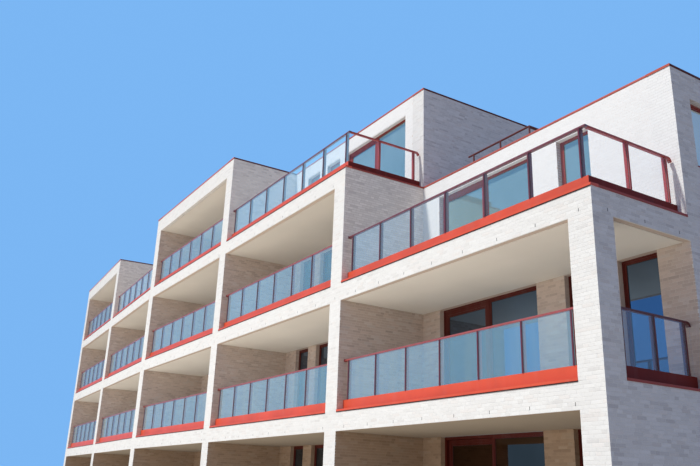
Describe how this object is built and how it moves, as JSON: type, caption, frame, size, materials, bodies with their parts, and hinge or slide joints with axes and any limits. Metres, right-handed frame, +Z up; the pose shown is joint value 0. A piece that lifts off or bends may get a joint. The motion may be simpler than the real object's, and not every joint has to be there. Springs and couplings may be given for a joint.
{
  "type": "apartment block",
  "caption": "Stepped apartment block of pale brick with deep loggias, roof terraces, red balcony fascias and glass balustrades.",
  "frame": {"origin": "bottom centre of the block's bounding box, at ground level", "axes": "+X along the front towards the near end wall, +Y from the front into the block, +Z up"},
  "size_m": [38.0054, 12.7682, 12.25],
  "materials": {
    "brick": "matt whitewashed long-format brick",
    "inner_brick": "matt whitewashed brick of the loggias' inner walls",
    "concrete": "fair-faced concrete",
    "plaster": "smooth beige render",
    "roof_felt": "roofing felt",
    "window_frame": "dark red-brown powder coat",
    "door_leaf": "dark red-brown powder coat",
    "window_glass": "clear insulating glass",
    "guard_glass": "pale blue laminated glass",
    "fascia": "satin red powder coat",
    "handrail": "satin red-brown powder coat",
    "coping": "satin red powder coat"
  },
  "bodies": {
    "building": {"ground_slab": "concrete", "floor_slab_1": "concrete", "floor_slab_2": "concrete", "floor_slab_3": "concrete", "roof_slabs": "concrete", "roof_covering": "roof_felt", "roof_upstands": "concrete", "party_walls": "brick", "left_end_wall": "brick", "right_end_wall": "brick", "end_wall_ground": "brick", "corner_pier": "brick", "penthouse_side_wall": "brick", "front_bands": "brick", "roof_bands": "brick", "end_band": "brick", "loggia_ceilings": "plaster", "inner_wall_ground": "inner_brick", "doorway_lintels": "concrete", "inner_wall_1": "inner_brick", "inner_wall_2": "inner_brick", "inner_wall_3": "inner_brick", "rear_walls": "brick", "window_frames": "window_frame", "rear_window_frames": "window_frame", "window_glass": "window_glass", "rear_window_glass": "window_glass", "door_jambs": "window_frame", "door_heads_and_thresholds": "window_frame", "door_fixed_panes": "window_glass", "sills": "fascia", "side_sills": "fascia", "fascias": "fascia", "side_fascias": "fascia", "balustrade_frames": "handrail", "side_balustrade_frames": "handrail", "balustrade_glass": "guard_glass", "side_balustrade_glass": "guard_glass", "copings_along": "coping", "copings_across": "coping", "roof_rail": "handrail"},
    "terrace_door_1": {"door_leaf_1": "door_leaf", "door_leaf_1_glass": "window_glass"},
    "terrace_door_2": {"door_leaf_2": "door_leaf", "door_leaf_2_glass": "window_glass"}
  },
  "joints": [
    {"name": "terrace_door_1_slide", "type": "slide", "parent": "building", "child": "terrace_door_1", "axis": [1, 0, 0], "range_m": [0, 1.455]},
    {"name": "terrace_door_2_slide", "type": "slide", "parent": "building", "child": "terrace_door_2", "axis": [1, 0, 0], "range_m": [0, 1.455]}
  ]
}
